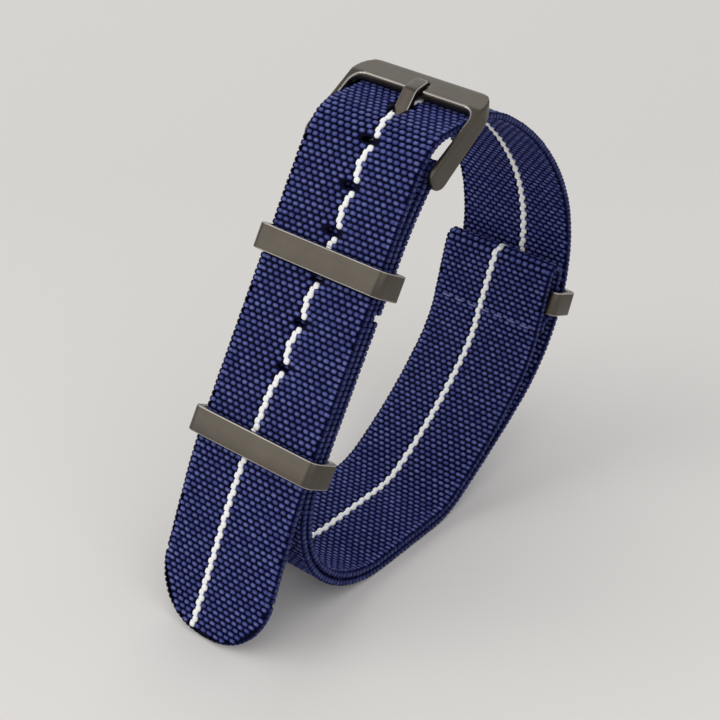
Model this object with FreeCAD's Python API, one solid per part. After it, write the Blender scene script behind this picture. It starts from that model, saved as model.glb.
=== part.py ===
# NATO watch strap, buckled into a loop and stood on its edge. Millimetres, +Z up.
# X runs across the loop, Y across the webbing. The origin lies on the table under the buckle pin.
import FreeCAD
import Part
import math
import os
from FreeCAD import Vector

# webbing
strap_width = 20.0
strap_thickness = 1.1
layer_gap = 0.1

# loop
pin_height = 60.6
stack_slope = 58.0
fold_slope = 48.0
heel_radius = 15.5
sole_radius = 17.5
sole_split = 305.0
table_flat = 12.0
toe_radius = 12.0
toe_angle = 30.0
side_start_angle = 36.0
side_end_angle = 121.0
side_radius = 27.6
shoulder_angle = 148.0
crest_entry_radius = 17.0
crest_flat = 4.7
crest_radius = 6.5
crest_slope = 46.0
tail_bend_radius = 20.0
tail_drop_slope = 66.0
tail_drop_radius = 80.0
tail_lead = 2.5
over_fold_clearance = 0.9

# folded end round the buckle pin
fold_throat_radius = 3.0
fold_leg = 20.0
stack_bend_start = 11.5

# holes in the tail
hole_pitch = 6.5
hole_count = 6
hole_width = 2.4
hole_height = 1.0
tongue_slot_play = 0.2
tip_round = 9.0

# buckle
pin_diameter = 1.5
pin_clearance = 0.08
side_clearance = 0.25
buckle_wall = 0.95
pin_seat_depth = 0.6
lug_radius = 1.9
window_length = 8.1
bar_width = 4.4
bar_thickness = 1.3
bar_tilt = 8.0
bar_nose_radius = 0.8
bar_edge_radius = 0.3
bar_clearance = 0.25
corner_radius = 3.6
window_corner_radius = 1.6

# tongue
tongue_width = 2.2
tongue_thickness = 0.9
tongue_curl = 278.0
tongue_bend_radius = 0.85
tongue_lap = 2.3
tongue_lead = 0.5
notch_depth = 0.5
tongue_clearance = 0.06
tongue_lift = 6.0
frame_lift = 3.0

# keepers and end ring
keeper_height = 3.7
keeper_wall = 0.95
keeper_clearance = 0.25
keeper_corner = 1.3
upper_keeper_drop = 15.9
lower_keeper_drop = 42.7
ring_angle = 73.0
ring_tilt = -6.0
ring_reach = 3.45
ring_play = 0.45
ring_slot = 1.6
ring_slot_end_play = 0.2
eye_rise = 0.9
short_gap_bend = 48.0
short_seam = 1.8
short_ease_radius = 0.8
join_gap = 1.0

# sewing
thread = 0.2
thread_clearance = 0.04
stitch_length = 1.5
stitch_space = 1.0
stitch_count = 7
seam_inset = 1.6


def direction(angle):
    return Vector(math.cos(math.radians(angle)), 0, math.sin(math.radians(angle)))


def left_of(angle):
    return direction(angle + 90.0)


class Path:
    """A line and arc path in the XZ plane; every arc starts along the end of the piece before."""

    def __init__(self, start, heading):
        self.point = start
        self.heading = heading
        self.pieces = []

    def line(self, length):
        end = self.point + direction(self.heading) * length
        self.pieces.append(("line", self.point, end, self.heading))
        self.point = end

    def arc(self, radius, turn):
        side = 1.0 if turn > 0 else -1.0
        centre = self.point + left_of(self.heading) * (radius * side)
        self.pieces.append(("arc", centre, radius, self.heading, turn))
        self.heading += turn
        self.point = centre - left_of(self.heading) * (radius * side)

    def length_of(self, piece):
        if piece[0] == "line":
            return (piece[2] - piece[1]).Length
        return piece[2] * math.radians(abs(piece[4]))

    def length(self):
        return sum(self.length_of(piece) for piece in self.pieces)

    def pose(self, distance):
        """Point and heading this far along the path."""
        for piece in self.pieces:
            size = self.length_of(piece)
            if distance <= size:
                break
            distance -= size
        if piece[0] == "line":
            return piece[1] + direction(piece[3]) * distance, piece[3]
        centre, radius, heading, turn = piece[1:]
        side = 1.0 if turn > 0 else -1.0
        heading += turn * distance / size
        return centre - left_of(heading) * (radius * side), heading

    def edges(self, shift):
        """Edges of the path moved to its left by shift."""
        made = []
        for piece in self.pieces:
            if piece[0] == "line":
                move = left_of(piece[3]) * shift
                made.append((piece[1] + move, None, piece[2] + move))
            else:
                centre, radius, heading, turn = piece[1:]
                side = 1.0 if turn > 0 else -1.0
                reach = radius * side - shift
                stops = [heading, heading + turn / 2.0, heading + turn]
                made.append(tuple(centre - left_of(stop) * reach for stop in stops))
        return made


def outline_edge(start, middle, end):
    if middle is None:
        return Part.makeLine(start, end)
    return Part.Arc(start, middle, end).toShape()


def ribbon(path, low, high, width):
    """The strip between two shifts of a path, extruded over width and centred on Y = 0."""
    lower = path.edges(low)
    upper = path.edges(high)
    edges = [outline_edge(*piece) for piece in lower]
    edges.append(Part.makeLine(lower[-1][2], upper[-1][2]))
    edges += [outline_edge(piece[2], piece[1], piece[0]) for piece in reversed(upper)]
    edges.append(Part.makeLine(upper[0][0], lower[0][0]))
    face = Part.Face(Part.Wire(edges))
    solid = face.extrude(Vector(0, width, 0))
    solid.translate(Vector(0, -width / 2.0, 0))
    return solid


def arc_reach(start_angle, end_angle):
    """Travel of a left turn of radius one between two headings."""
    start = direction(start_angle)
    end = direction(end_angle)
    return Vector(end.z - start.z, 0, start.x - end.x)


def close_arcs(gap, first, second):
    """The two radii whose arcs, with the reaches first and second, span the gap."""
    area = first.x * second.z - first.z * second.x
    radius_one = (gap.x * second.z - gap.z * second.x) / area
    radius_two = (first.x * gap.z - first.z * gap.x) / area
    return radius_one, radius_two


def solve(function, low, high):
    """Bisection for the value where the function crosses zero."""
    low_sign = function(low) > 0
    for _ in range(60):
        middle = (low + high) / 2.0
        if (function(middle) > 0) == low_sign:
            low = middle
        else:
            high = middle
    return (low + high) / 2.0


def rounded_hull(discs):
    """Face of the hull round discs (centre, radius) given counter-clockwise, in the XZ plane."""
    normals = []
    for index, (centre, radius) in enumerate(discs):
        next_centre, next_radius = discs[(index + 1) % len(discs)]
        step = next_centre - centre
        heading = math.degrees(math.atan2(step.z, step.x))
        normals.append(heading - 90.0 - math.degrees(math.asin((next_radius - radius) / step.Length)))
    edges = []
    for index, (centre, radius) in enumerate(discs):
        arrive = normals[index - 1]
        leave = arrive + (normals[index] - arrive) % 360.0
        stops = [centre + direction(angle) * radius for angle in (arrive, (arrive + leave) / 2.0, leave)]
        edges.append(Part.Arc(*stops).toShape())
        next_centre, next_radius = discs[(index + 1) % len(discs)]
        edges.append(Part.makeLine(stops[2], next_centre + direction(leave) * next_radius))
    return Part.Face(Part.Wire(edges))


def slab(face, width):
    solid = face.extrude(Vector(0, width, 0))
    solid.translate(Vector(0, -width / 2.0, 0))
    return solid


def rounded_plate(x_low, x_high, half_width, radius, z_low, z_high):
    """Upright prism on a rectangle whose two corners at x_high are rounded."""
    square = radius * (1.0 - math.sqrt(0.5))
    a = Vector(x_low, -half_width, z_low)
    b = Vector(x_high - radius, -half_width, z_low)
    c = Vector(x_high - square, -half_width + square, z_low)
    d = Vector(x_high, -half_width + radius, z_low)
    e = Vector(x_high, half_width - radius, z_low)
    f = Vector(x_high - square, half_width - square, z_low)
    g = Vector(x_high - radius, half_width, z_low)
    h = Vector(x_low, half_width, z_low)
    edges = [Part.makeLine(a, b), Part.Arc(b, c, d).toShape(), Part.makeLine(d, e)]
    edges += [Part.Arc(e, f, g).toShape(), Part.makeLine(g, h), Part.makeLine(h, a)]
    return Part.Face(Part.Wire(edges)).extrude(Vector(0, 0, z_high - z_low))


# layout of the layers
pitch = strap_thickness + layer_gap
half = strap_thickness / 2.0
pin_radius = pin_diameter / 2.0
pin = Vector(0, 0, pin_height)
wrap_radius = pin_radius + pin_clearance + half
throat_sine = (pitch / 2.0 + fold_throat_radius) / (fold_throat_radius + wrap_radius)
throat_angle = 90.0 - math.degrees(math.asin(throat_sine))
throat_length = (fold_throat_radius + wrap_radius) * math.sqrt(1.0 - throat_sine ** 2)
stack_turn = stack_slope - fold_slope
down = 180.0 + stack_slope

# outer leg of the fold, from the pin to the straight stack
leg_start = pin - left_of(180.0 + fold_slope) * (pitch / 2.0)
leg_start = leg_start + direction(180.0 + fold_slope) * throat_length
stack_bend_length = stack_bend_start - throat_length
stack_bend_radius = stack_bend_length / math.radians(stack_turn)
inner_bend_radius = stack_bend_radius - pitch


def outer_leg(path):
    """From the pin's throat down to the start of the straight stack."""
    path.arc(stack_bend_radius, stack_turn)


probe = Path(leg_start, 180.0 + fold_slope)
outer_leg(probe)
stack_top = probe.point
heel_reach = arc_reach(down, sole_split) * heel_radius
sole_reach = arc_reach(sole_split, 360.0) * sole_radius
stack_straight = (stack_top.z + heel_reach.z + sole_reach.z - half) / -direction(down).z

# tail: its straight lies one pitch outside the stack, its crest clears the fold on the pin
tail_line_point = stack_top - left_of(down) * pitch
tail_reach = arc_reach(180.0, 180.0 + crest_slope) * crest_radius
tail_reach = tail_reach + arc_reach(180.0 + crest_slope, down) * tail_bend_radius
fold_outer_radius = wrap_radius + half


def crest_point(height):
    """Where the crest's arc starts for a crest this high: its end must meet the tail's straight."""
    end_z = height + tail_reach.z
    along = (end_z - tail_line_point.z) / direction(down).z
    end_x = tail_line_point.x + direction(down).x * along
    return Vector(end_x - tail_reach.x, 0, height)


def fold_room(height):
    """Room left between the folded end on the pin and the crest's inner face."""
    centre = crest_point(height) - Vector(0, 0, crest_radius)
    return crest_radius - half - fold_outer_radius - over_fold_clearance - (pin - centre).Length


def roomiest_height():
    """The crest height at which the fold on the pin has most room."""
    centre = crest_point(pin_height) - Vector(0, 0, crest_radius)
    rise = direction(stack_slope)
    return pin_height + (pin - centre).dot(rise) * rise.z


crest = crest_point(solve(fold_room, pin_height, roomiest_height()))
tail_rise = (stack_top - crest - tail_reach).dot(direction(down))
tail_straight = tail_rise + stack_straight - tail_lead


def heel_and_sole(path, shift):
    """Round the lower left of the loop to the flat on the table, shift inside the main layer."""
    path.arc(heel_radius - shift, sole_split - down)
    path.arc(sole_radius - shift, 360.0 - sole_split)
    path.line(table_flat)


def make_main_path():
    inner_start = pin + left_of(180.0 + fold_slope) * (pitch / 2.0)
    inner_start = inner_start + direction(180.0 + fold_slope) * throat_length
    probe = Path(inner_start, 180.0 + fold_slope)
    probe.arc(inner_bend_radius, stack_turn)
    probe.line(fold_leg - stack_bend_start)
    path = Path(probe.point, stack_slope)
    path.line(fold_leg - stack_bend_start)
    path.arc(inner_bend_radius, -stack_turn)
    path.arc(fold_throat_radius, -throat_angle)
    path.arc(wrap_radius, 180.0 + 2 * throat_angle)
    path.arc(fold_throat_radius, -throat_angle)
    outer_leg(path)
    path.line(stack_straight)
    heel_and_sole(path, 0.0)
    path.arc(toe_radius, toe_angle)
    entry = arc_reach(shoulder_angle, 180.0) * crest_entry_radius
    side = arc_reach(side_start_angle, side_end_angle) * side_radius
    target = crest + Vector(crest_flat, 0, 0) - entry - side
    instep = arc_reach(toe_angle, side_start_angle)
    shoulder = arc_reach(side_end_angle, shoulder_angle)
    arrival = Vector(path.point.x, 0, path.point.z)
    instep_radius, shoulder_radius = close_arcs(target - arrival, instep, shoulder)
    path.heading -= 360.0
    path.arc(instep_radius, side_start_angle - toe_angle)
    path.arc(side_radius, side_end_angle - side_start_angle)
    path.arc(shoulder_radius, shoulder_angle - side_end_angle)
    path.arc(crest_entry_radius, 180.0 - shoulder_angle)
    path.line(crest_flat)
    path.arc(crest_radius, crest_slope)
    path.arc(tail_bend_radius, down - 180.0 - crest_slope)
    path.line(tail_straight)
    path.arc(tail_drop_radius, tail_drop_slope - stack_slope)
    path.line((path.point.z - half * direction(tail_drop_slope).x) / direction(tail_drop_slope).z)
    print("instep and shoulder radii", round(instep_radius, 2), round(shoulder_radius, 2))
    return path


main_path = make_main_path()


crest_start = main_path.length() - sum(main_path.length_of(piece) for piece in main_path.pieces[-6:])


def placed(shape, spot, x_direction, z_direction):
    """Moves a shape from the origin to spot, its X and Z along the two directions."""
    side = z_direction.cross(x_direction)
    rows = []
    for name in ("x", "y", "z"):
        rows += [getattr(axis, name) for axis in (x_direction, side, z_direction, spot)]
    shape.Placement = FreeCAD.Placement(FreeCAD.Matrix(*rows, 0, 0, 0, 1)).multiply(shape.Placement)
    return shape


def block(x_low, x_high, y_low, y_high, z_low, z_high):
    solid = Part.makeBox(x_high - x_low, y_high - y_low, z_high - z_low)
    solid.translate(Vector(x_low, y_low, z_low))
    return solid


def cross_cylinder(centre, radius, y_low, y_high):
    start = Vector(centre.x, y_low, centre.z)
    return Part.makeCylinder(radius, y_high - y_low, start, Vector(0, 1, 0))


# buckle: the bar clears the crest of the strap that passes under it
hardware_inner = strap_width / 2.0 + side_clearance
hardware_outer = hardware_inner + buckle_wall
bar_bottom = Vector(window_length, 0, crest.z + half + bar_clearance)
bar_top = bar_bottom + Vector(0, 0, bar_thickness)
bar_along = direction(bar_tilt)
bar_up = left_of(bar_tilt)
nose = bar_top + bar_along * (bar_width - bar_nose_radius) - bar_up * bar_nose_radius
bar_edge = bar_top + bar_along * bar_edge_radius - bar_up * bar_edge_radius


def make_buckle_frame():
    side = rounded_hull([(pin, lug_radius), (nose, bar_nose_radius), (bar_edge, bar_edge_radius)])
    frame = slab(side, 2 * hardware_outer)
    x_end = nose.x + bar_nose_radius
    z_low = pin.z - 2 * lug_radius
    z_high = nose.z + 2 * bar_width
    plan = rounded_plate(pin.x - 2 * lug_radius, x_end, hardware_outer, corner_radius, z_low, z_high)
    window = rounded_plate(pin.x - 2 * lug_radius, window_length, hardware_inner,
                           window_corner_radius, z_low, z_high)
    under = block(-window_length, window_length, -hardware_inner, hardware_inner, -window_length, 0)
    under = placed(under, bar_bottom, bar_along, bar_up)
    frame = frame.common(plan).cut(window).cut(under)
    reach = hardware_inner + pin_seat_depth
    return frame.cut(cross_cylinder(pin, pin_radius, -reach, reach))


def make_buckle_pin():
    reach = hardware_inner + pin_seat_depth
    return cross_cylinder(pin, pin_radius, -reach, reach)


# tongue: curled round the pin, up through the strap, bent over the bar
curl_radius = pin_radius + pin_clearance + tongue_thickness / 2.0
lap_rise = tongue_thickness / 2.0 - notch_depth + tongue_clearance
tongue_knee = bar_top + bar_up * lap_rise - bar_along * tongue_lead
knee_step = tongue_knee - pin
tongue_angle = math.degrees(math.atan2(knee_step.z, knee_step.x) + math.asin(curl_radius / knee_step.Length))


def make_tongue_path():
    start_angle = tongue_angle - tongue_curl
    path = Path(pin + direction(start_angle - 90.0) * curl_radius, start_angle)
    path.arc(curl_radius, tongue_curl)
    bend = tongue_angle - bar_tilt
    shank = math.sqrt(knee_step.Length ** 2 - curl_radius ** 2)
    path.line(shank - tongue_bend_radius * math.tan(math.radians(bend / 2.0)))
    path.arc(tongue_bend_radius, -bend)
    path.line(tongue_lap)
    return path


def make_tongue():
    half_tongue = tongue_thickness / 2.0
    path = make_tongue_path()
    tongue = ribbon(path, -half_tongue, half_tongue, tongue_width)
    tip_x = path.point.x
    reach = tongue_width / 2.0
    plan = rounded_plate(pin.x - 2 * lug_radius, tip_x, reach, 0.6 * reach, 0, 2 * pin_height)
    return tongue.common(plan)


def make_notch():
    """The seat for the tongue in the top of the bar."""
    reach = tongue_width / 2.0 + tongue_slot_play / 2.0
    seat = block(-tongue_lead, tongue_lap, -reach, reach, -notch_depth, bar_width)
    return placed(seat, bar_top, bar_along, bar_up)


def tongue_line_x(angle, height, offset):
    """X where the tongue's shank, shifted across by offset, crosses this height."""
    foot = pin - left_of(angle) * curl_radius
    return foot.x + (height - foot.z) / math.tan(math.radians(angle)) + offset / math.sin(math.radians(angle))


def make_tongue_slot():
    room = tongue_thickness / 2.0 + tongue_slot_play
    lifted = tongue_angle + tongue_lift + frame_lift
    low = crest.z - half
    high = crest.z + half
    x_low = tongue_line_x(lifted, low, -room)
    x_high = tongue_line_x(tongue_angle, high, room)
    reach = tongue_width / 2.0 + tongue_slot_play
    return block(x_low, x_high, -reach, reach, low - half, high + half)


def make_curl_slot():
    """Room in the folded end for the tongue's curl."""
    reach = tongue_width / 2.0 + tongue_slot_play
    return cross_cylinder(pin, fold_outer_radius + over_fold_clearance / 2.0, -reach, reach)


def make_hole(distance):
    """Lens-shaped slit across the tail, this far along the main path."""
    spot, heading = main_path.pose(distance)
    left = Vector(-strap_thickness, -hole_width / 2.0, 0)
    right = Vector(-strap_thickness, hole_width / 2.0, 0)
    top = Vector(-strap_thickness, 0, hole_height / 2.0)
    bottom = Vector(-strap_thickness, 0, -hole_height / 2.0)
    wire = Part.Wire([Part.Arc(left, top, right).toShape(), Part.Arc(right, bottom, left).toShape()])
    slit = Part.Face(wire).extrude(Vector(2 * strap_thickness, 0, 0))
    return placed(slit, spot, left_of(heading) * -1.0, direction(heading) * -1.0)


def make_tip_corner(side):
    """What is cut from one corner of the tail's end, side being -1 or 1."""
    centre = strap_width / 2.0 - tip_round
    corner = block(-strap_thickness, strap_thickness, centre, strap_width, -tip_round, tip_round)
    start = Vector(-strap_thickness, centre, tip_round)
    corner = corner.cut(Part.makeCylinder(tip_round, 2 * strap_thickness, start, Vector(1, 0, 0)))
    heading = main_path.heading
    corner = placed(corner, main_path.point, left_of(heading) * -1.0, direction(heading) * -1.0)
    return corner if side > 0 else corner.mirror(Vector(0, 0, 0), Vector(0, 1, 0))


# sewing: a running stitch sunk in the faces of the two layers it holds
def seam_blocks(depth_low, depth_high, grow):
    """Blocks of one row at the origin: X through the layers, Y along the row."""
    step = stitch_length + stitch_space
    start = -(stitch_count * step - stitch_space) / 2.0
    reach = thread / 2.0 + grow
    blocks = []
    for index in range(stitch_count):
        y_low = start + index * step
        y_high = y_low + stitch_length
        blocks.append(block(depth_high - thread - grow, depth_high + grow, y_low - reach, y_high + reach,
                            -reach, reach))
        for y in (y_low, y_high):
            blocks.append(block(depth_low - grow, depth_high + grow, y - reach, y + reach, -reach, reach))
        if index < stitch_count - 1:
            blocks.append(block(depth_low - grow, depth_low + thread + grow, y_high - reach,
                                y_low + step + reach, -reach, reach))
    return blocks


def seam(spot, heading, depth_low, depth_high, grow=0.0):
    """A row of stitches through the layers between two depths left of a path."""
    blocks = seam_blocks(depth_low, depth_high, grow)
    row = blocks[0].multiFuse(blocks[1:]).removeSplitter()
    return placed(row, spot, left_of(heading), direction(heading))


# short strap
join_drop = fold_leg - stack_bend_start + join_gap
side_arc = [piece for piece in main_path.pieces if piece[0] == "arc" and piece[2] == side_radius][0]
ring_in = left_of(ring_angle)
ring_up = direction(ring_angle)
ring_point = side_arc[1] - ring_in * side_radius
ring_bar = ring_point + ring_in * ring_reach
eye_half = keeper_height / 2.0 + ring_slot_end_play
ease_angle = math.degrees(math.acos(1.0 - (ring_slot - layer_gap) / (2.0 * short_ease_radius)))
ease_length = 2.0 * short_ease_radius * math.sin(math.radians(ease_angle))
eye_leg = eye_half + ease_length + short_seam


def make_short_path():
    start = stack_top + left_of(down) * pitch + direction(down) * join_drop
    path = Path(start, down)
    path.line(stack_straight - join_drop)
    heel_and_sole(path, pitch)
    path.arc(toe_radius - pitch, toe_angle)
    path.heading -= 360.0
    target = ring_bar + ring_in * (ring_slot / 2.0 + half) - ring_up * eye_leg
    first = arc_reach(toe_angle, short_gap_bend)
    second = arc_reach(short_gap_bend, ring_angle)
    first_radius, second_radius = close_arcs(target - path.point, first, second)
    print("short strap radii", round(first_radius, 2), round(second_radius, 2))
    path.arc(first_radius, short_gap_bend - toe_angle)
    path.arc(second_radius, ring_angle - short_gap_bend)
    path.line(eye_leg + eye_half + eye_rise)
    path.arc(ring_slot / 2.0 + half, -180.0)
    path.line(2 * eye_half + eye_rise)
    path.arc(short_ease_radius, -ease_angle)
    path.arc(short_ease_radius, ease_angle)
    path.line(short_seam)
    return path


def seam_rows():
    """Name, spot, heading and depths of each row of stitches."""
    fold_spot = stack_top + direction(down) * (fold_leg - stack_bend_start - seam_inset)
    join_spot = stack_top + direction(down) * (join_drop + seam_inset)
    eye_spot = ring_bar + ring_in * (ring_slot / 2.0 + half)
    eye_spot = eye_spot - ring_up * (eye_leg - short_seam / 2.0)
    return [
        ("buckle_fold_stitching", fold_spot, down, -half, pitch + half),
        ("strap_join_stitching", join_spot, down, -half, pitch + half),
        ("ring_fold_stitching", eye_spot, ring_angle, -pitch - half, half),
    ]


def make_seam_row(row, grow=0.0):
    return seam(row[1], row[2], row[3], row[4], grow)


def make_main_strap():
    strap = ribbon(main_path, -half, half, strap_width)
    tools = [make_tongue_slot(), make_curl_slot(), make_tip_corner(1), make_tip_corner(-1)]
    slot_x = (tongue_line_x(tongue_angle, crest.z, 0.0) + crest.x) / 2.0
    slot_station = crest_start + crest.x + crest_flat - slot_x
    tools += [make_hole(slot_station + hole_pitch * (index + 1)) for index in range(hole_count)]
    tools += [make_seam_row(row, thread_clearance) for row in seam_rows()[:2]]
    return strap.cut(tools)


def make_short_strap():
    strap = ribbon(make_short_path(), -half, half, strap_width)
    return strap.cut([make_seam_row(row, thread_clearance) for row in seam_rows()[1:]])


# keepers and end ring
def rounded_rectangle(x_low, x_high, half_width, radius):
    """Face in the XY plane."""
    face = block(x_low, x_high, -half_width, half_width, 0, 1)
    upright = [edge for edge in face.Edges if abs(edge.tangentAt(edge.FirstParameter).z) > 0.5]
    return face.makeFillet(radius, upright)


def band(x_low, x_high, height):
    """A rectangular ring round x_low to x_high, its wall outside, centred on Z = 0."""
    outer = rounded_rectangle(x_low - keeper_wall, x_high + keeper_wall, hardware_outer, keeper_corner)
    inner = rounded_rectangle(x_low, x_high, hardware_inner, keeper_corner - keeper_wall)
    lift = FreeCAD.Matrix()
    lift.scale(1, 1, height)
    ring = outer.cut(inner).transformGeometry(lift)
    ring.translate(Vector(0, 0, -height / 2.0))
    return ring


def make_keeper(drop):
    reach = pitch + half + keeper_clearance
    spot = stack_top + direction(down) * (drop - stack_bend_start)
    return placed(band(-reach, reach, keeper_height), spot, left_of(down), direction(down))


def make_end_ring():
    x_high = -keeper_wall / 2.0
    ring = band(-half - ring_play - ring_reach, x_high, keeper_height)
    return placed(ring, ring_bar, left_of(ring_angle + ring_tilt), direction(ring_angle + ring_tilt))


def export(name, shape):
    shape.exportStep("parts/" + name + ".step")
    print(name, len(shape.Solids), round(shape.Volume, 2), shape.isValid())


os.makedirs("parts", exist_ok=True)
export("main_strap", make_main_strap())
export("short_strap", make_short_strap())
export("buckle_frame", make_buckle_frame().cut(make_notch()))
export("buckle_pin", make_buckle_pin())
export("tongue", make_tongue())
export("keeper_upper", make_keeper(upper_keeper_drop))
export("keeper_lower", make_keeper(lower_keeper_drop))
export("end_ring", make_end_ring())
for seam_row in seam_rows():
    export(seam_row[0], make_seam_row(seam_row))
print("pin", pin, "crest", crest, "stack top", stack_top, "ring bar", ring_bar)
print("main strap length", round(main_path.length(), 1), "stack straight", round(stack_straight, 2))
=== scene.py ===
import bmesh
import bpy
import math
from mathutils import Matrix, Vector


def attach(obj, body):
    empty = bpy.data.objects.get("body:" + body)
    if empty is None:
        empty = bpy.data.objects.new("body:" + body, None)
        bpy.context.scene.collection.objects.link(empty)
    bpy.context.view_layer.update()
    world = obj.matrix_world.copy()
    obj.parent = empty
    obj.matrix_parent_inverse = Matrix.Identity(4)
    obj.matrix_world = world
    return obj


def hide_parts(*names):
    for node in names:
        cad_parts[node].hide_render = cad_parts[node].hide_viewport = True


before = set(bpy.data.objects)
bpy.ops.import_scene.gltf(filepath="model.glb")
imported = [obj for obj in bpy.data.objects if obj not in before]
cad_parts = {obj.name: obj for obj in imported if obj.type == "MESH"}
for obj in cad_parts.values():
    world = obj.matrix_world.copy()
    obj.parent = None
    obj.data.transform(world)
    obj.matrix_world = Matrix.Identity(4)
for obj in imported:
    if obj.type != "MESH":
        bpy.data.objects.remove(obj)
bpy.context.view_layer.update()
print("frame loaded")

mm = 0.001  # sizes in the dictionaries are millimetres, Blender's are metres

# the weave: rows of yarn beads, each half a dome, on a thin core that is painted dark as the shade between
# them
weave = {
    "halfWidth": 10.0,
    "rowPitch": 0.8125,  # along the webbing
    "columnPitch": 1.17,  # across it
    "coreHalf": 0.25,
    "coreHalfWidth": 9.7,
    "coreCells": 36,
    "beadAlong": 0.385,  # half sizes of a navy bead
    "beadAcross": 0.64,
    "beadRise": 0.32,
    "beadSunk": 0.03,
    "yarnAlong": 0.56,  # half sizes of a bead of the white yarn
    "yarnAcross": 0.52,
    "yarnRise": 0.36,
    "yarnZigzag": 0.12,
    "lastColumn": 9.3,
    "endRoom": 0.35,  # left free at the webbing's ends
    "tipRoom": 0.55,  # left free along the rounded tip
    "tipLead": 0.2,
    "bendDepth": 0.4,  # a bead inside a bend is squeezed as if it stood this high
    "leastSqueeze": 0.4,
    "edgeY": 9.56,
    "edgeAlong": 0.50,
    "edgeAcross": 0.54,
    "edgeRise": 0.46,
    "edgePaintedShade": 0.5,  # how far the selvedge is painted darker, towards the painted gap shade
    "squareness": 0.72,
    "unevenness": 0.06,
    "twist": 0.07,
}

# a strap's middle line starts at X and Z, and each run has a length and a turn in degrees;
# the drift gives the white yarn's place across the strap, from distance to distance, on each face
mainStrap = {
    "start": (-11.014, 44.12),
    "heading": 58.0,
    "runs": [
        (8.5, 0), (8.796, -10.0), (1.818, -34.723), (6.008, 249.446), (1.818, -34.723), (9.005, 10.0),
        (31.659, 0), (18.125, 67.0), (16.799, 55.0), (12.0, 0), (6.283, 30.0), (17.77, 6.0),
        (40.945, 85.0), (20.002, 27.0), (9.495, 32.0), (4.7, 0), (5.219, 46.0), (4.189, 12.0),
        (37.664, 0), (11.17, 8.0), (19.478, 0),
    ],
    "rowPhase": 218.945,
    "holes": [218.945, 225.445, 231.945, 238.445, 244.945, 251.445],
    "slots": [(209.798, 213.623, 1.3)],  # from, to, half width
    "pin": (0.0, 60.6, 2.0, 1.3),  # X, Z, reach and half width of the opening round the pin
    "tipRound": 9.0,
    "drift": {
        -1: [(205.0, -0.7), (236.0, 0.0), (291.0, 2.1)],
        1: [(120.0, 0.0), (160.0, -1.5), (200.0, -1.5)],
    },
}

shortStrap = {
    "start": (-11.544, 43.272),
    "heading": 238.0,
    "runs": [
        (22.159, 0), (16.722, 67.0), (15.647, 55.0), (12.0, 0), (5.655, 30.0), (20.71, 18.0),
        (7.075, 25.0), (9.597, 0), (4.241, -180.0), (6.2, 0), (1.207, -86.417), (1.207, 86.417),
        (1.8, 0),
    ],
    "rowPhase": 0.4,
    "holes": [],
    "slots": [],
    "pin": None,
    "tipRound": 0,
    "drift": {-1: [(0.0, 0.0)], 1: [(60.0, 1.2), (100.0, 1.2), (112.0, 0.4)]},
}

# a hole in the tail is a slit that the rows and columns of beads part round
slit = {
    "halfWidth": 1.2,
    "halfHeight": 0.5,
    "rowHalf": 0.42,  # a row this near the hole's middle stops at the slit
    "leastLip": 0.1,
    "grow": 0.2,  # beads stay this far from a slot or slit
    "reach": 3.5,  # rows within this distance are moved
    "push": 0.24,  # along the webbing
    "pushFade": 1.1,
    "pushHalfWidth": 1.8,
    "yarnShift": 0.62,  # across the webbing
    "yarnFade": 1.7,
    "sideFade": 0.45,
}


def strapLength(strap):
    return sum(length for length, turn in strap["runs"])


def strapPose(strap, distance):
    x, z = strap["start"]
    heading = math.radians(strap["heading"])
    bend = 0.0
    for length, turn in strap["runs"]:
        step = min(distance, length)
        if turn:
            radius = length / math.radians(turn)
            after = heading + step / radius
            x += radius * (math.sin(after) - math.sin(heading))
            z += radius * (math.cos(heading) - math.cos(after))
            heading = after
            bend = 1.0 / radius
        else:
            x += step * math.cos(heading)
            z += step * math.sin(heading)
            bend = 0.0
        distance -= step
        if distance <= 0:
            break
    return x, z, heading, bend


def strapPoint(strap, distance, y, lift):
    x, z, heading, bend = strapPose(strap, distance)
    return Vector((x - lift * math.sin(heading), y, z + lift * math.cos(heading)))


# the directions along the webbing and out of the face on its left, which is side 1; side -1 is
# the other face, the outer one of the main strap
def strapAxes(heading):
    along = Vector((math.cos(heading), 0, math.sin(heading)))
    left = Vector((-math.sin(heading), 0, math.cos(heading)))
    return along, left


def insideSlot(strap, distance, y, grow):
    for hole in strap["holes"]:
        if abs(distance - hole) < slit["rowHalf"] and abs(y) < slit["halfWidth"] + grow:
            return True
    for low, high, halfWidth in strap["slots"]:
        if low - grow < distance < high + grow and abs(y) < halfWidth + grow:
            return True
    if strap["pin"]:
        pinX, pinZ, reach, halfWidth = strap["pin"]
        if abs(y) < halfWidth + grow:
            x, z, heading, bend = strapPose(strap, distance)
            return math.hypot(x - pinX, z - pinZ) < reach
    return False


def stripeDrift(strap, distance, side):
    stops = strap["drift"][side]
    if distance <= stops[0][0]:
        return stops[0][1]
    for (low, start), (high, end) in zip(stops, stops[1:]):
        if distance <= high:
            return start + (end - start) * (distance - low) / (high - low)
    return stops[-1][1]


def tipHalfWidth(strap, distance, halfWidth):
    past = distance - (strapLength(strap) - strap["tipRound"])
    if past <= 0 or not strap["tipRound"]:
        return halfWidth
    radius = strap["tipRound"]
    return halfWidth - radius + math.sqrt(max(radius ** 2 - past ** 2, 0.0))


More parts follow.
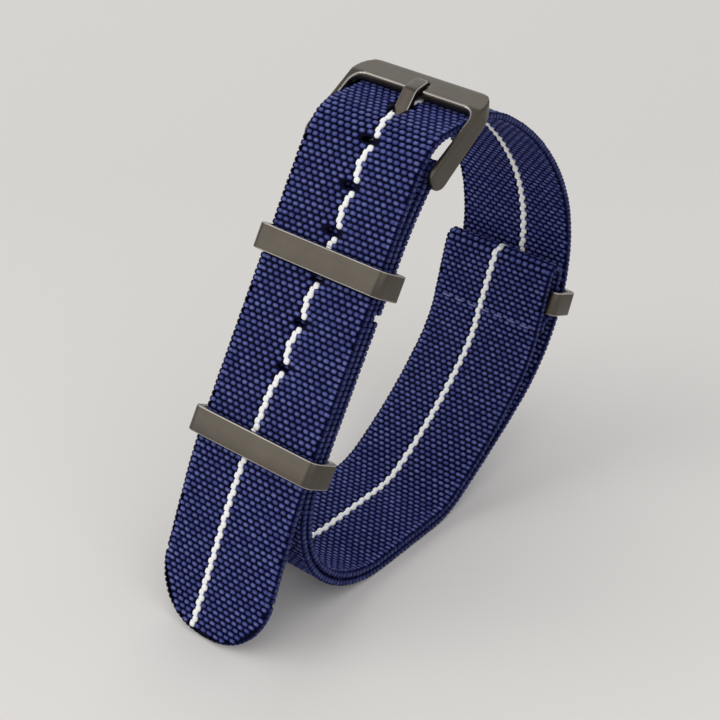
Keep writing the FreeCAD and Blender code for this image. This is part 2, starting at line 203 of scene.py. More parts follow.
# the core has one station between every two rows, and lacks the cells inside slots and slits
def coreMesh(strap):
    vertices, faces, made = [], [], {}
    total = strapLength(strap)
    pitch = weave["rowPitch"]
    half = pitch / 2
    first = strap["rowPhase"] - half
    low = first - pitch * math.floor(first / pitch)
    stations = [0.0] + [low + pitch * i for i in range(1, int((total - low) / pitch))] + [total]
    count = weave["coreCells"]
    columns = [weave["coreHalfWidth"] * (2.0 * j / count - 1.0) for j in range(count + 1)]
    layers = (weave["coreHalf"], -weave["coreHalf"])

    def vertex(i, j, k):
        if (i, j, k) not in made:
            s = stations[i]
            y = columns[j] * tipHalfWidth(strap, s, weave["coreHalfWidth"]) / weave["coreHalfWidth"]
            for hole in strap["holes"]:
                besideHole = abs(abs(s - hole) - half) < 0.02
                if besideHole and abs(y) < slit["halfWidth"]:
                    lens = 1.0 - (y / slit["halfWidth"]) ** 2
                    s = hole + math.copysign(slit["halfHeight"] * max(lens, slit["leastLip"]), s - hole)
            made[i, j, k] = len(vertices)
            vertices.append(strapPoint(strap, s, y, layers[k]) * mm)
        return made[i, j, k]

    def present(i, j):
        if not (0 <= i < len(stations) - 1 and 0 <= j < len(columns) - 1):
            return False
        s = (stations[i] + stations[i + 1]) / 2
        return not insideSlot(strap, s, (columns[j] + columns[j + 1]) / 2, 0.0)

    for i in range(len(stations) - 1):
        for j in range(len(columns) - 1):
            if not present(i, j):
                continue
            corners = [(i, j), (i + 1, j), (i + 1, j + 1), (i, j + 1)]
            faces.append([vertex(*corner, 0) for corner in corners])
            faces.append([vertex(*corners[n], 1) for n in (0, 3, 2, 1)])
            sides = [
                (i - 1, j, (i, j), (i, j + 1)),
                (i + 1, j, (i + 1, j + 1), (i + 1, j)),
                (i, j - 1, (i + 1, j), (i, j)),
                (i, j + 1, (i, j + 1), (i + 1, j + 1)),
            ]
            for nextI, nextJ, a, b in sides:
                if not present(nextI, nextJ):
                    faces.append([vertex(*a, 0), vertex(*b, 0), vertex(*b, 1), vertex(*a, 1)])
    return vertices, faces


def aimOf(along, outward):
    side = outward.cross(along)
    return Matrix((along, side, outward)).transposed().to_euler("XYZ")


# rows beside a slit part along the webbing, and the columns next to it bend across
def partRound(strap, s, y, column):
    place = s
    for hole in strap["holes"]:
        away = s - hole
        if abs(away) >= slit["reach"]:
            continue
        past = abs(away) - weave["rowPitch"]
        if abs(y) < slit["pushHalfWidth"]:
            push = slit["push"] * math.exp(-past / slit["pushFade"])
            place += math.copysign(push * (1.0 - (y / slit["pushHalfWidth"]) ** 2), away)
        shift = slit["yarnShift"] * math.exp(-(past / slit["yarnFade"]) ** 2)
        y -= shift * math.exp(-abs(column) * slit["sideFade"])
    return place, y


# a bead is its place, its aim, its half sizes and its shade: 1 white, 0 navy, below 0 navy darkened with
# painted shade
def beadRows(strap, sides):
    beads = []
    total = strapLength(strap)
    pitch = weave["rowPitch"]
    first = math.ceil((weave["endRoom"] - strap["rowPhase"]) / pitch)
    last = math.floor((total - weave["endRoom"] - strap["rowPhase"]) / pitch)
    reach = math.ceil(weave["halfWidth"] / weave["columnPitch"]) + 1
    grow = slit["grow"] if strap["slots"] else 0.0
    for n in range(first, last + 1):
        s = strap["rowPhase"] + n * pitch
        tipEdge = tipHalfWidth(strap, s + weave["tipLead"], weave["halfWidth"]) - weave["tipRoom"]
        for side in sides:
            drift = stripeDrift(strap, s, side)
            zigzag = (1 if n % 2 else -1) * side
            for column in range(-reach, reach + 1):
                white = column == 0
                stagger = weave["yarnZigzag"] if white else weave["columnPitch"] / 4
                y = column * weave["columnPitch"] + stagger * zigzag + drift
                if abs(y) > weave["lastColumn"] + weave["columnPitch"] / 2:
                    continue
                if abs(y) > weave["lastColumn"]:
                    y = math.copysign(weave["lastColumn"], y)
                if insideSlot(strap, s, y, grow) or abs(y) > tipEdge:
                    continue
                place, y = partRound(strap, s, y, column)
                x, z, heading, bend = strapPose(strap, place)
                along, left = strapAxes(heading)
                squeeze = max(1.0 - side * bend * weave["bendDepth"], weave["leastSqueeze"])
                kind = "yarn" if white else "bead"
                size = (weave[kind + "Along"] * squeeze, weave[kind + "Across"], weave[kind + "Rise"])
                spot = strapPoint(strap, place, y, side * (weave["coreHalf"] - weave["beadSunk"]))
                beads.append((spot, aimOf(along, left * side), size, 1.0 if white else 0.0))
    return beads


# the selvedge beads carry a painted shade that darkens them towards the gap shade
def edgeBeads(strap):
    beads = []
    size = (weave["edgeAlong"], weave["edgeAcross"], weave["edgeRise"])
    straight = strapLength(strap) - strap["tipRound"]
    for side in (-1, 1):
        for n in range(int(straight / weave["rowPitch"])):
            s = (n + 0.5) * weave["rowPitch"]
            along, left = strapAxes(strapPose(strap, s)[2])
            spot = strapPoint(strap, s, side * weave["edgeY"], 0.0)
            beads.append((spot, aimOf(along, Vector((0, side, 0))), size, -weave["edgePaintedShade"]))
    if not strap["tipRound"]:
        return beads
    radius = strap["tipRound"] - (weave["halfWidth"] - weave["edgeY"])
    count = int(radius * math.pi / 2 / weave["rowPitch"])
    for side in (-1, 1):
        for n in range(count + 1):
            turn = (n + 0.5) / (count + 1) * math.pi / 2
            s = straight + radius * math.sin(turn)
            y = side * (weave["halfWidth"] - strap["tipRound"] + radius * math.cos(turn))
            down, left = strapAxes(strapPose(strap, s)[2])
            across = Vector((0, side, 0))
            outward = down * math.sin(turn) + across * math.cos(turn)
            along = down * math.cos(turn) - across * math.sin(turn)
            beads.append((strapPoint(strap, s, y, 0.0), aimOf(along, outward), size, -weave["edgePaintedShade"]))
    return beads


def newSockets(tree, way, sockets):
    for name, kind in sockets:
        tree.interface.new_socket(name, in_out=way, socket_type="NodeSocket" + kind)


def socketsOf(sockets, kind):
    return [socket for socket in sockets if socket.type == kind]


def linkTo(tree, pairs):
    for output, socket in pairs:
        tree.links.new(output, socket)


def mathNode(tree, operation, first, second, clamp=False):
    node = tree.nodes.new("ShaderNodeMath")
    node.operation = operation
    node.use_clamp = clamp
    for socket, value in zip(node.inputs, (first, second)):
        if isinstance(value, (int, float)):
            socket.default_value = value
        else:
            tree.links.new(value, socket)
    return node.outputs[0]


def vectorNode(tree, operation):
    node = tree.nodes.new("ShaderNodeVectorMath")
    node.operation = operation
    return node


def storeNode(tree, name, kind, domain):
    node = tree.nodes.new("GeometryNodeStoreNamedAttribute")
    node.data_type = kind
    node.domain = domain
    node.inputs["Name"].default_value = name
    return node


def readNode(tree, name, kind):
    node = tree.nodes.new("GeometryNodeInputNamedAttribute")
    node.data_type = kind
    node.inputs["Name"].default_value = name
    return node.outputs["Attribute"]


def randomNode(tree, kind, seed):
    node = tree.nodes.new("FunctionNodeRandomValue")
    node.data_type = kind
    node.inputs["Seed"].default_value = seed
    return node


def pointDeleter(tree):
    node = tree.nodes.new("GeometryNodeDeleteGeometry")
    node.domain = "POINT"
    return node


seeds = {"size": 11, "yaw": 23, "tone": 37}


# sets a squared half-dome on every point marked as a bead, and joins them to the core
def makeBeadTree():
    tree = bpy.data.node_groups.new("yarnBeads", "GeometryNodeTree")
    newSockets(tree, "INPUT", [
        ("Geometry", "Geometry"), ("Bead Segments", "Int"), ("Bead Rings", "Int"), ("Unevenness", "Float"),
        ("Twist", "Float"), ("Squareness", "Float"), ("Finish", "Material"),
    ])
    newSockets(tree, "OUTPUT", [("Geometry", "Geometry")])
    add = tree.nodes.new
    given = add("NodeGroupInput")
    result = add("NodeGroupOutput")

    # the dome: the upper half of a ball, pulled towards a block
    sphere = add("GeometryNodeMeshUVSphere")
    sphere.inputs["Radius"].default_value = 1.0
    place = add("GeometryNodeInputPosition")
    parts = add("ShaderNodeSeparateXYZ")
    below = add("FunctionNodeCompare")
    below.data_type = "FLOAT"
    below.operation = "LESS_THAN"
    below.inputs["B"].default_value = -0.05
    dome = pointDeleter(tree)
    squared = add("ShaderNodeCombineXYZ")
    square = add("GeometryNodeSetPosition")
    for axis in ("X", "Y"):
        reach = mathNode(tree, "ABSOLUTE", parts.outputs[axis], 0.0)
        reach = mathNode(tree, "POWER", reach, given.outputs["Squareness"])
        way = mathNode(tree, "SIGN", parts.outputs[axis], 0.0)
        tree.links.new(mathNode(tree, "MULTIPLY", reach, way), squared.inputs[axis])
    grain = storeNode(tree, "grain", "FLOAT_VECTOR", "POINT")

    # its place, size and turn, the size and turn each a little uneven
    isBead = readNode(tree, "bead", "BOOLEAN")
    spread = randomNode(tree, "FLOAT_VECTOR", seeds["size"])
    yaw = randomNode(tree, "FLOAT", seeds["yaw"])
    shade = randomNode(tree, "FLOAT", seeds["tone"])
    sizeLimits = socketsOf(spread.inputs, "VECTOR")
    yawLimits = socketsOf(yaw.inputs, "VALUE")
    scaled = vectorNode(tree, "MULTIPLY")
    instances = add("GeometryNodeInstanceOnPoints")
    turn = add("ShaderNodeCombineXYZ")
    rotate = add("GeometryNodeRotateInstances")
    tone = storeNode(tree, "tone", "FLOAT", "INSTANCE")

    core = pointDeleter(tree)
    join = add("GeometryNodeJoinGeometry")
    realize = add("GeometryNodeRealizeInstances")
    smooth = add("GeometryNodeSetShadeSmooth")
    finish = add("GeometryNodeSetMaterial")
    linkTo(tree, [
        (given.outputs["Bead Segments"], sphere.inputs["Segments"]),
        (given.outputs["Bead Rings"], sphere.inputs["Rings"]),
        (place.outputs[0], parts.inputs[0]),
        (parts.outputs["Z"], below.inputs["A"]),
        (sphere.outputs["Mesh"], dome.inputs["Geometry"]),
        (below.outputs[0], dome.inputs["Selection"]),
        (parts.outputs["Z"], squared.inputs["Z"]),
        (dome.outputs["Geometry"], square.inputs["Geometry"]),
        (squared.outputs[0], square.inputs["Position"]),
        (square.outputs["Geometry"], grain.inputs["Geometry"]),
        (place.outputs[0], grain.inputs["Value"]),
        (given.outputs["Geometry"], instances.inputs["Points"]),
        (isBead, instances.inputs["Selection"]),
        (grain.outputs["Geometry"], instances.inputs["Instance"]),
        (readNode(tree, "aim", "FLOAT_VECTOR"), instances.inputs["Rotation"]),
        (mathNode(tree, "SUBTRACT", 1.0, given.outputs["Unevenness"]), sizeLimits[0]),
        (mathNode(tree, "ADD", 1.0, given.outputs["Unevenness"]), sizeLimits[1]),
        (readNode(tree, "size", "FLOAT_VECTOR"), scaled.inputs[0]),
        (socketsOf(spread.outputs, "VECTOR")[0], scaled.inputs[1]),
        (scaled.outputs[0], instances.inputs["Scale"]),
        (mathNode(tree, "MULTIPLY", given.outputs["Twist"], -1.0), yawLimits[0]),
        (given.outputs["Twist"], yawLimits[1]),
        (socketsOf(yaw.outputs, "VALUE")[0], turn.inputs["Z"]),
        (instances.outputs["Instances"], rotate.inputs["Instances"]),
        (turn.outputs[0], rotate.inputs["Rotation"]),
        (rotate.outputs["Instances"], tone.inputs["Geometry"]),
        (socketsOf(shade.outputs, "VALUE")[0], tone.inputs["Value"]),
        (given.outputs["Geometry"], core.inputs["Geometry"]),
        (isBead, core.inputs["Selection"]),
        (core.outputs["Geometry"], join.inputs[0]),
        (tone.outputs["Geometry"], join.inputs[0]),
        (join.outputs[0], realize.inputs[0]),
        (realize.outputs[0], smooth.inputs["Geometry"]),
        (smooth.outputs["Geometry"], finish.inputs["Geometry"]),
        (given.outputs["Finish"], finish.inputs["Material"]),
        (finish.outputs["Geometry"], result.inputs[0]),
    ])
    return tree


beadTree = makeBeadTree()


def newObject(name, mesh):
    piece = bpy.data.objects.new(name, mesh)
    bpy.context.scene.collection.objects.link(piece)
    return piece


# an object's modifiers turned into a plain mesh of its own
def plainPiece(source, name):
    graph = bpy.context.evaluated_depsgraph_get()
    made = bpy.data.meshes.new_from_object(source.evaluated_get(graph), preserve_all_data_layers=True,
                                           depsgraph=graph)
    made.name = name
    bpy.data.objects.remove(source)
    print(name, len(made.polygons), "faces")
    return newObject(name, made)


def beadPiece(name, beads, material, core=((), ()), segments=8, rings=4):
    vertices, faces = core
    blank = len(vertices)
    mesh = bpy.data.meshes.new(name + "Points")
    mesh.from_pydata(list(vertices) + [spot * mm for spot, aim, size, shade in beads], [], faces)
    aims = [0.0] * (3 * blank)
    sizes = [0.0] * (3 * blank)
    for spot, aim, size, shade in beads:
        aims += list(aim)
        sizes += [value * mm for value in size]
    isBead = [False] * blank + [True] * len(beads)
    yarns = [0.0] * blank + [max(shade, 0.0) for spot, aim, size, shade in beads]
    # the core and the selvedge beads are mixed towards the painted gap shade by these shares
    paintedShadeShares = [1.0] * blank + [max(-shade, 0.0) for spot, aim, size, shade in beads]
    mesh.attributes.new("bead", "BOOLEAN", "POINT").data.foreach_set("value", isBead)
    mesh.attributes.new("aim", "FLOAT_VECTOR", "POINT").data.foreach_set("vector", aims)
    mesh.attributes.new("size", "FLOAT_VECTOR", "POINT").data.foreach_set("vector", sizes)
    mesh.attributes.new("yarn", "FLOAT", "POINT").data.foreach_set("value", yarns)
    mesh.attributes.new("core", "FLOAT", "POINT").data.foreach_set("value", paintedShadeShares)
    source = newObject(name + "Source", mesh)
    modifier = source.modifiers.new("beads", "NODES")
    modifier.node_group = beadTree
    wanted = {
        "Bead Segments": segments,
        "Bead Rings": rings,
        "Unevenness": weave["unevenness"],
        "Twist": weave["twist"],
        "Squareness": weave["squareness"],
        "Finish": material,
    }
    for item in beadTree.interface.items_tree:
        if item.in_out == "INPUT" and item.name in wanted:
            modifier[item.identifier] = wanted[item.name]
    piece = plainPiece(source, name)
    for spare in ("aim", "size", "bead"):
        if spare in piece.data.attributes:
            piece.data.attributes.remove(piece.data.attributes[spare])
    return piece


def newMaterial(name):
    material = bpy.data.materials.new(name)
    material.use_nodes = True
    tree = material.node_tree
    return material, tree, tree.nodes["Principled BSDF"]


# streaks of fine filaments along a yarn, from the bead's own coordinates
def makeFilamentGroup():
    group = bpy.data.node_groups.new("filaments", "ShaderNodeTree")
    newSockets(group, "INPUT", [("Grain", "Vector"), ("Tone", "Float"), ("Count", "Float")])
    newSockets(group, "OUTPUT", [("Streak", "Float")])
    add = group.nodes.new
    given = add("NodeGroupInput")
    result = add("NodeGroupOutput")
    stretch = add("ShaderNodeCombineXYZ")
    stretch.inputs["X"].default_value = 1.1
    stretch.inputs["Z"].default_value = 1.0
    scaled = vectorNode(group, "MULTIPLY")
    moved = vectorNode(group, "ADD")  # every bead reads another part of the noise
    noise = add("ShaderNodeTexNoise")
    noise.inputs["Scale"].default_value = 1.0
    noise.inputs["Detail"].default_value = 2.0
    linkTo(group, [
        (given.outputs["Count"], stretch.inputs["Y"]),
        (given.outputs["Grain"], scaled.inputs[0]),
        (stretch.outputs[0], scaled.inputs[1]),
        (scaled.outputs[0], moved.inputs[0]),
        (mathNode(group, "MULTIPLY", given.outputs["Tone"], 91.0), moved.inputs[1]),
        (moved.outputs[0], noise.inputs["Vector"]),
        (noise.outputs["Fac"], result.inputs["Streak"]),
    ])
    return group


filaments = makeFilamentGroup()


def attributeNode(tree, name):
    node = tree.nodes.new("ShaderNodeAttribute")
    node.attribute_name = name
    return node


def mixColour(tree, factor, first, second):
    node = tree.nodes.new("ShaderNodeMix")
    node.data_type = "RGBA"
    sockets = socketsOf(node.inputs, "VALUE")[:1] + socketsOf(node.inputs, "RGBA")
    for socket, value in zip(sockets, (factor, first, second)):
        if isinstance(value, (int, float)):
            socket.default_value = value
        elif isinstance(value, tuple):
            socket.default_value = (*value, 1.0)
        else:
            tree.links.new(value, socket)
    return socketsOf(node.outputs, "RGBA")[0]


def bumpNode(tree, height, strength, depth):
    bump = tree.nodes.new("ShaderNodeBump")
    bump.inputs["Strength"].default_value = strength
    bump.inputs["Distance"].default_value = depth * mm
    tree.links.new(height, bump.inputs["Height"])
    return bump.outputs["Normal"]


def streakNode(tree, grain, tone, count):
    streak = tree.nodes.new("ShaderNodeGroup")
    streak.node_tree = filaments
    streak.inputs["Count"].default_value = count
    linkTo(tree, [(grain, streak.inputs["Grain"]), (tone, streak.inputs["Tone"])])
    return streak.outputs["Streak"]


# a bead goes from a painted gap shade at its foot over navy flanks to a painted highlight on its crown
webbingFinish = {
    "gap": (0.0004, 0.0008, 0.011),
    "navy": (0.009, 0.014, 0.105),
    "paintedHighlight": (0.215, 0.247, 0.54),
    "white": (0.93, 0.93, 0.925),
    "whitePaintedGapShade": (0.42, 0.43, 0.48),
    "shadeFadeStart": 0.22,  # heights are shares of the bead's rise
    "shadeFadeSpan": 0.42,
    "paintedHighlightStart": 0.66,
    "paintedHighlightSpan": 0.32,
    "toneShare": 0.42,
    "paintedGlintStart": 0.16,
    "roughness": 0.45,
    "specular": 0.05,
    "filamentCount": 7.0,
    "bumpStrength": 0.5,
    "bumpDepth": 0.06,
}


def makeWebbing():
    material, tree, shader = newMaterial("navyWebbing")
    look = webbingFinish
    yarn = attributeNode(tree, "yarn").outputs["Fac"]
    core = attributeNode(tree, "core").outputs["Fac"]
    tone = attributeNode(tree, "tone").outputs["Fac"]
    grain = attributeNode(tree, "grain").outputs["Vector"]
    streak = streakNode(tree, grain, tone, look["filamentCount"])
    parts = tree.nodes.new("ShaderNodeSeparateXYZ")
    tree.links.new(grain, parts.inputs[0])
    height = parts.outputs["Z"]
    # painted shade: a bead's foot is coloured as the shade in the gaps between beads
    shadeFade = mathNode(tree, "SUBTRACT", height, look["shadeFadeStart"])
    shadeFade = mathNode(tree, "DIVIDE", shadeFade, look["shadeFadeSpan"], clamp=True)
    # painted highlight: the crown is coloured paler, more on brighter beads and along filaments
    paintedHighlight = mathNode(tree, "SUBTRACT", height, look["paintedHighlightStart"])
    paintedHighlight = mathNode(tree, "DIVIDE", paintedHighlight, look["paintedHighlightSpan"], clamp=True)
    paintedGlint = mathNode(tree, "ADD", mathNode(tree, "MULTIPLY", tone, look["toneShare"]), streak)
    paintedGlint = mathNode(tree, "SUBTRACT", paintedGlint, look["paintedGlintStart"])
    paintedGlint = mathNode(tree, "MULTIPLY", paintedHighlight, paintedGlint, clamp=True)
    blue = mixColour(tree, paintedGlint, look["navy"], look["paintedHighlight"])
    blue = mixColour(tree, shadeFade, look["gap"], blue)
    pale = mixColour(tree, shadeFade, look["whitePaintedGapShade"], look["white"])
    colour = mixColour(tree, yarn, blue, pale)
    # painted shade: the core sheet and the selvedge beads are mixed towards the gap shade
    colour = mixColour(tree, core, colour, look["gap"])
    normal = bumpNode(tree, streak, look["bumpStrength"], look["bumpDepth"])
    linkTo(tree, [(colour, shader.inputs["Base Color"]), (normal, shader.inputs["Normal"])])
    shader.inputs["Roughness"].default_value = look["roughness"]
    shader.inputs["Specular IOR Level"].default_value = look["specular"]
    return material


threadFinish = {
    "light": (0.20, 0.24, 0.42),
    "dark": (0.05, 0.065, 0.17),
    "roughness": 0.6,
    "filamentCount": 6.0,
}


def makeThread():
    material, tree, shader = newMaterial("sewingThread")
    tone = attributeNode(tree, "tone").outputs["Fac"]
    grain = attributeNode(tree, "grain").outputs["Vector"]
    streak = streakNode(tree, grain, tone, threadFinish["filamentCount"])
    colour = mixColour(tree, streak, threadFinish["dark"], threadFinish["light"])
    tree.links.new(colour, shader.inputs["Base Color"])
    shader.inputs["Roughness"].default_value = threadFinish["roughness"]
    return material


# brushed satin on metal: fine lines across the part and slow clouds in the coating
def makeSatinGroup():
    group = bpy.data.node_groups.new("satin", "ShaderNodeTree")
    newSockets(group, "INPUT", [("Lines", "Float")])
    newSockets(group, "OUTPUT", [("Fine", "Float"), ("Cloud", "Float")])
    add = group.nodes.new
    given = add("NodeGroupInput")
    result = add("NodeGroupOutput")
    coords = add("ShaderNodeTexCoord")
    stretch = add("ShaderNodeCombineXYZ")
    stretch.inputs["Y"].default_value = 120.0
    scaled = vectorNode(group, "MULTIPLY")
    fine = add("ShaderNodeTexNoise")
    fine.inputs["Scale"].default_value = 1.0
    fine.inputs["Detail"].default_value = 3.0
    cloud = add("ShaderNodeTexNoise")
    cloud.inputs["Scale"].default_value = 260.0
    cloud.inputs["Detail"].default_value = 2.0
    linkTo(group, [
        (given.outputs["Lines"], stretch.inputs["X"]),
        (given.outputs["Lines"], stretch.inputs["Z"]),
        (coords.outputs["Object"], scaled.inputs[0]),
        (stretch.outputs[0], scaled.inputs[1]),
        (scaled.outputs[0], fine.inputs["Vector"]),
        (coords.outputs["Object"], cloud.inputs["Vector"]),
        (fine.outputs["Fac"], result.inputs["Fine"]),
        (cloud.outputs["Fac"], result.inputs["Cloud"]),
    ])
    return group


satin = makeSatinGroup()

gunmetalFinish = {
    "dark": (0.078, 0.068, 0.056),
    "light": (0.104, 0.092, 0.077),
    "roughness": (0.26, 0.44),
    "edgeDark": (0.28, 0.262, 0.238),
    "edgeLight": (0.50, 0.475, 0.44),
    "edgeRoughness": (0.14, 0.30),
    "lines": 5200.0,
    "bumpStrength": 0.12,
    "bumpDepth": 0.01,
}


def makeMetal(name, dark, light, roughness):
    material, tree, shader = newMaterial(name)
    grain = tree.nodes.new("ShaderNodeGroup")
    grain.node_tree = satin
    grain.inputs["Lines"].default_value = gunmetalFinish["lines"]
    fine = grain.outputs["Fine"]
    colour = mixColour(tree, grain.outputs["Cloud"], dark, light)
    rough = mathNode(tree, "MULTIPLY", fine, roughness[1] - roughness[0])
    rough = mathNode(tree, "ADD", rough, roughness[0])
    normal = bumpNode(tree, fine, gunmetalFinish["bumpStrength"], gunmetalFinish["bumpDepth"])
    linkTo(tree, [
        (colour, shader.inputs["Base Color"]),
        (rough, shader.inputs["Roughness"]),
        (normal, shader.inputs["Normal"]),
    ])
    shader.inputs["Metallic"].default_value = 1.0
    return material


navyWebbing = makeWebbing()
sewingThread = makeThread()
gunmetal = makeMetal("satinGunmetal", gunmetalFinish["dark"], gunmetalFinish["light"],
                     gunmetalFinish["roughness"])
# polished edges, whose metal is painted brighter as a painted highlight
brightEdge = makeMetal("polishedEdgePaintedHighlight", gunmetalFinish["edgeDark"], gunmetalFinish["edgeLight"],
                       gunmetalFinish["edgeRoughness"])
print("materials made")

# the main strap is three pieces, so that each keeps a moderate number of faces
mainWeave = beadPiece("mainStrapOuterWeave", beadRows(mainStrap, (-1,)), navyWebbing, coreMesh(mainStrap))
mainLining = beadPiece("mainStrapInnerWeave", beadRows(mainStrap, (1,)), navyWebbing)
mainSelvedge = beadPiece("mainStrapSelvedge", edgeBeads(mainStrap), navyWebbing)
shortBeads = beadRows(shortStrap, (1, -1)) + edgeBeads(shortStrap)
shortWeave = beadPiece("shortStrapWeave", shortBeads, navyWebbing, coreMesh(shortStrap))

for piece in (mainWeave, mainLining, mainSelvedge, shortWeave):
    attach(piece, "strap")
    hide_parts("short_strap" if piece is shortWeave else "main_strap")
print("webbing woven")

# rows of sewing: piece, node, the row's middle in X and Z, the webbing's heading there, and the
# depths of the two faces that it shows on
stitches = {
    "count": 7,
    "length": 1.5,
    "space": 1.0,
    "halfWidth": 0.14,
    "rise": 0.17,
    "sunk": 0.1,
    "segments": 12,
    "rings": 8,
    "rows": [
        ("buckleFoldStitches", "buckle_fold_stitching", (-11.184, 46.113), 238.0, (-0.55, 1.75)),
        ("strapJoinStitches", "strap_join_stitching", (-13.410, 42.551), 238.0, (-0.55, 1.75)),
        ("ringFoldStitches", "ring_fold_stitching", (27.627, 23.146), 73.0, (-1.75, 0.55)),
    ],
}

for name, node, (rowX, rowZ), heading, depths in stitches["rows"]:
    beads = []
    along, left = strapAxes(math.radians(heading))
    middle = (stitches["count"] - 1) / 2
    size = (stitches["length"] / 2 + stitches["sunk"], stitches["halfWidth"], stitches["rise"])
    for depth, side in zip(depths, (-1, 1)):
        for n in range(stitches["count"]):
            y = (n - middle) * (stitches["length"] + stitches["space"])
            centre = Vector((rowX, y, rowZ)) + left * (depth - side * stitches["sunk"])
            beads.append((centre, aimOf(Vector((0, 1, 0)), left * side), size, 0.0))
    row = beadPiece(name, beads, sewingThread, segments=stitches["segments"], rings=stitches["rings"])
    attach(row, "strap")
    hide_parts(node)
print("rows sewn")


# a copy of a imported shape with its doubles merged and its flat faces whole
def mergedMesh(node, name):
    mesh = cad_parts[node].data.copy()
    mesh.name = name
    work = bmesh.new()
    work.from_mesh(mesh)
    bmesh.ops.remove_doubles(work, verts=work.verts, dist=0.002 * mm)
    bmesh.ops.dissolve_limit(work, angle_limit=math.radians(0.6), verts=work.verts, edges=work.edges)
    bmesh.ops.recalc_face_normals(work, faces=work.faces)
    work.to_mesh(mesh)
    work.free()
    mesh.materials.clear()
    mesh.materials.append(gunmetal)
    mesh.materials.append(brightEdge)
    return mesh


def finishedPiece(source, node, name, body):
    piece = plainPiece(source, name)
    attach(piece, body)
    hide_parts(node)
    return piece


# the frame is cast: all its edges are soft, and the upper edge of its window is polished and carries a
# painted highlight
casting = {
    "grain": 0.12,
    "softening": 0.5,
    "rounds": 26,
    "centreX": 3.5,  # the window's middle, and the room in which its edge lies
    "endX": 8.9,
    "reachY": 10.8,
    "lowZ": 60.0,
    "sideY": 9.0,  # past this the edge faces across the strap
    "facing": (0.30, 0.90),
    "leastUp": 0.3,
}


def onWindowEdge(polygon):
    x, y, z = polygon.center / mm
    if x >= casting["endX"] or abs(y) >= casting["reachY"] or z <= casting["lowZ"]:
        return False
    inward = Vector((casting["centreX"] - x, -y if abs(y) > casting["sideY"] else 0.0, 0.0)).normalized()
    low, high = casting["facing"]
    return low < polygon.normal.dot(inward) < high and polygon.normal.z > casting["leastUp"]


def castCopy(node, name, body):
    source = newObject(name, mergedMesh(node, name))
    recast = source.modifiers.new("recast", "REMESH")
    recast.mode = "VOXEL"
    recast.voxel_size = casting["grain"] * mm
    recast.use_smooth_shade = True
    soften = source.modifiers.new("soften", "SMOOTH")
    soften.factor = casting["softening"]
    soften.iterations = casting["rounds"]
    piece = finishedPiece(source, node, name, body)
    for polygon in piece.data.polygons:
        polygon.material_index = 1 if onWindowEdge(polygon) else 0


# the other fittings are stamped: crisp, with narrow rounded edges that wear has polished and that carry a
# painted highlight
stamping = {
    "segments": 3,
    "sharpAngle": 32.0,
    "pieces": [
        ("tongue", "buckleTongue", "tongue", 0.12),
        ("keeper_upper", "upperKeeper", "upper_keeper", 0.16),
        ("keeper_lower", "lowerKeeper", "lower_keeper", 0.16),
        ("end_ring", "endRing", "ring", 0.16),
    ],
}


def stampedCopy(node, name, body, width):
    source = newObject(name, mergedMesh(node, name))
    for polygon in source.data.polygons:
        polygon.material_index = 0
        polygon.use_smooth = True
    bevel = source.modifiers.new("edges", "BEVEL")
    bevel.width = width * mm
    bevel.segments = stamping["segments"]
    bevel.limit_method = "ANGLE"
    bevel.angle_limit = math.radians(stamping["sharpAngle"])
    bevel.material = 1
    bevel.harden_normals = True
    finishedPiece(source, node, name, body)


castCopy("buckle_frame", "buckleFrame", "buckle")
for fitting in stamping["pieces"]:
    stampedCopy(*fitting)
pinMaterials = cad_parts["buckle_pin"].data.materials
pinMaterials.clear()
pinMaterials.append(gunmetal)
print("hardware finished")

# the room round the strap, in metres
studio = {
    "floorReach": 3.0,
    "floorFarPaintedLight": (0.68, 0.665, 0.635),
    "floorNearPaintedLight": (0.80, 0.778, 0.745),
    "paintedLightMiddle": 0.5,  # the painted light's mix of the two colours under the strap, and how fast it changes per metre
    "paintedLightChange": 3.0,
    "floorRoughness": 0.9,
    "worldColour": (0.98, 0.98, 1.0, 1.0),
    "worldStrength": 0.66,
    "aim": (0, 0, 0.03),
    "lamps": [  # name, place, size, power, colour
        ("keyLamp", (-0.50, 0.36, 0.40), 0.7, 1.7, (1.0, 0.985, 0.96)),
        ("backLamp", (0.45, 0.40, 0.42), 0.6, 0.9, (1.0, 0.99, 0.97)),
        ("fillLamp", (-0.25, -0.50, 0.55), 0.9, 1.3, (0.98, 0.985, 1.0)),
    ],
}


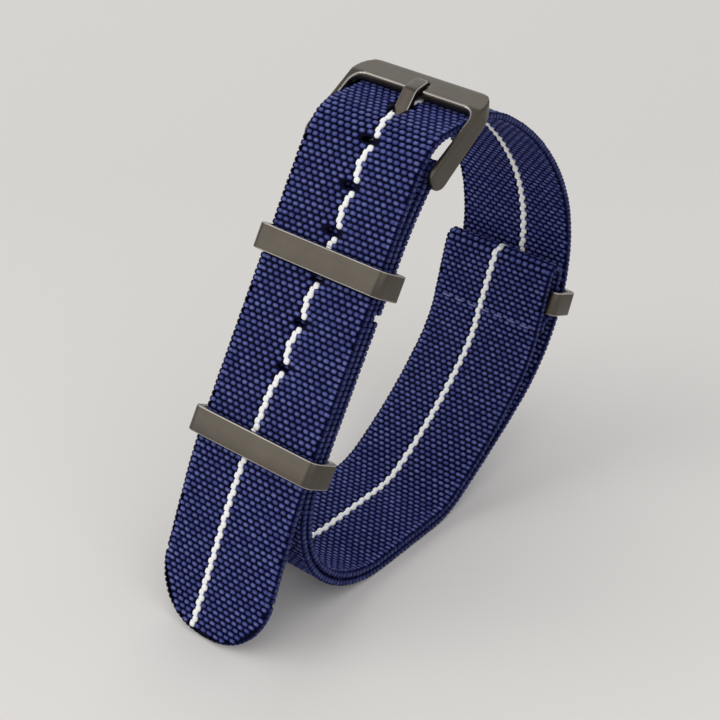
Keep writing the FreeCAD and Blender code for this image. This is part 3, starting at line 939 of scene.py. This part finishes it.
def makeFloor():
    mesh = bpy.data.meshes.new("floor")
    reach = studio["floorReach"]
    corners = [(-reach, -reach, 0), (reach, -reach, 0), (reach, reach, 0), (-reach, reach, 0)]
    mesh.from_pydata(corners, [], [(0, 1, 2, 3)])
    floor = newObject("floor", mesh)
    material, tree, shader = newMaterial("paleFloor")
    coords = tree.nodes.new("ShaderNodeTexCoord")
    spot = tree.nodes.new("ShaderNodeSeparateXYZ")
    # painted light: the floor is coloured lighter towards the camera, as a falloff of light
    across = mathNode(tree, "ADD", spot.outputs["X"], spot.outputs["Y"])
    change = mathNode(tree, "MULTIPLY", across, studio["paintedLightChange"])
    near = mathNode(tree, "SUBTRACT", studio["paintedLightMiddle"], change, clamp=True)
    colour = mixColour(tree, near, studio["floorFarPaintedLight"], studio["floorNearPaintedLight"])
    linkTo(tree, [(coords.outputs["Object"], spot.inputs[0]), (colour, shader.inputs["Base Color"])])
    shader.inputs["Roughness"].default_value = studio["floorRoughness"]
    mesh.materials.append(material)


def makeLamp(name, place, size, power, colour):
    data = bpy.data.lights.new(name, "AREA")
    data.size = size
    data.energy = power
    data.color = colour
    lamp = newObject(name, data)
    lamp.location = place
    lamp.rotation_euler = (Vector(studio["aim"]) - Vector(place)).to_track_quat("-Z", "Y").to_euler()


makeFloor()
for lampValues in studio["lamps"]:
    makeLamp(*lampValues)
world = bpy.data.worlds.new("studio")
world.use_nodes = True
sky = world.node_tree.nodes["Background"]
sky.inputs["Color"].default_value = studio["worldColour"]
sky.inputs["Strength"].default_value = studio["worldStrength"]
bpy.context.scene.world = world

# the camera's place and its three directions, fitted to the photograph
view = {
    "at": (-0.1595, -0.1308, 0.1615),
    "right": (0.6417, -0.7669, 0.0),
    "up": (0.4177, 0.3495, 0.8387),
    "back": (-0.6432, -0.5382, 0.5446),
    "lens": 85.0,
    "sensor": 36.0,
    "nearest": 0.01,
}
cameraData = bpy.data.cameras.new("photoCamera")
cameraData.lens = view["lens"]
cameraData.sensor_width = view["sensor"]
cameraData.clip_start = view["nearest"]
camera = newObject("photoCamera", cameraData)
turned = Matrix((view["right"], view["up"], view["back"])).transposed()
camera.matrix_world = Matrix.Translation(view["at"]) @ turned.to_4x4()
bpy.context.scene.camera = camera
bpy.context.scene.view_settings.view_transform = "Standard"

print("studio ready")
